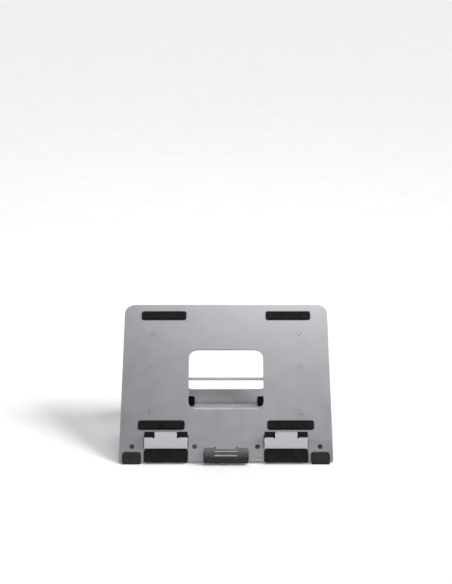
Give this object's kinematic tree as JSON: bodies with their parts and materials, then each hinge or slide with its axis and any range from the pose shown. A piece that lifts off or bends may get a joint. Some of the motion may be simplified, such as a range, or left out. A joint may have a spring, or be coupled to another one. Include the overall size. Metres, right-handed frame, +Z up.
{
  "type": "laptop stand",
  "caption": "Bent aluminium laptop stand with rubber-backed hooks, a flip-up front lip, rubber feet and a strutted folding rear leg.",
  "frame": {"origin": "middle of the bounding box's bottom face, on the table", "axes": "+Z up, +X to the right across the stand, +Y from the user to the back; the stand faces -Y"},
  "size_m": [0.278, 0.1902, 0.1522],
  "materials": {
    "bead_blasted_aluminium": "bead-blasted, clear anodised, satin",
    "rail_aluminium": "clear anodised, satin",
    "plain_steel": "zinc-plated, semi-bright",
    "screw_steel": "plated, bright on the rim",
    "rivet_aluminium": "turned, satin",
    "bar_aluminium": "drawn, satin",
    "black_rubber": "matt",
    "grey_rubber": "matt",
    "lip_plastic": "fine matt grain",
    "black_nylon": "smooth, slightly waxy"
  },
  "bodies": {
    "support": {"support_plate": "bead_blasted_aluminium", "side_rail_left": "rail_aluminium", "side_rail_right": "rail_aluminium", "lip_bracket": "plain_steel", "lip_pin": "plain_steel", "bumper_plate_left": "plain_steel", "bumper_plate_right": "plain_steel", "leg_pin_left": "plain_steel", "leg_pin_right": "plain_steel", "front_screw_left_inner": "screw_steel", "front_screw_left_outer": "screw_steel", "front_screw_right_inner": "screw_steel", "front_screw_right_outer": "screw_steel", "rail_rivet_left_front": "rivet_aluminium", "rail_rivet_left_middle": "rivet_aluminium", "rail_rivet_left_rear": "rivet_aluminium", "rail_rivet_right_front": "rivet_aluminium", "rail_rivet_right_middle": "rivet_aluminium", "rail_rivet_right_rear": "rivet_aluminium", "lip_rivet_left": "rivet_aluminium", "lip_rivet_right": "rivet_aluminium", "hook_bumper_left": "black_rubber", "hook_bumper_right": "black_rubber", "front_pad_left": "black_rubber", "front_pad_right": "black_rubber", "rest_strip_left_front": "black_rubber", "rest_strip_left_rear": "black_rubber", "rest_strip_right_front": "black_rubber", "rest_strip_right_rear": "black_rubber", "edge_foot_left": "grey_rubber", "edge_foot_right": "grey_rubber", "leg_bush_left": "black_nylon", "leg_bush_right": "black_nylon"},
    "lip": {"lip_core": "plain_steel", "lip_cover": "lip_plastic", "lip_bar_lower": "bar_aluminium", "lip_bar_upper": "bar_aluminium"},
    "leg": {"leg_channel": "rail_aluminium", "leg_foot_left": "black_rubber", "leg_foot_right": "black_rubber"},
    "strut": {"strut_rod": "plain_steel", "strut_arm_left": "plain_steel", "strut_pin_left": "plain_steel", "rod_clip_left": "plain_steel", "strut_arm_right": "plain_steel", "strut_pin_right": "plain_steel", "rod_clip_right": "plain_steel"}
  },
  "joints": [
    {"name": "lip_flip", "type": "hinge", "parent": "support", "child": "lip", "pos_m": [0, -0.08144, 0.0146], "axis": [-1, 0, 0], "range_deg": [0, 90]},
    {"name": "leg_fold", "type": "hinge", "parent": "support", "child": "leg", "pos_m": [0, 0.06738, 0.12188], "axis": [-1, 0, 0], "range_deg": [0, 60]},
    {"name": "strut_fold", "type": "hinge", "parent": "leg", "child": "strut", "pos_m": [0, 0.0788, 0.04977], "axis": [1, 0, 0], "range_deg": [0, 120]}
  ],
  "couplings": [
    {"joint": "strut_fold", "follows": "leg_fold", "ratio": 2}
  ]
}
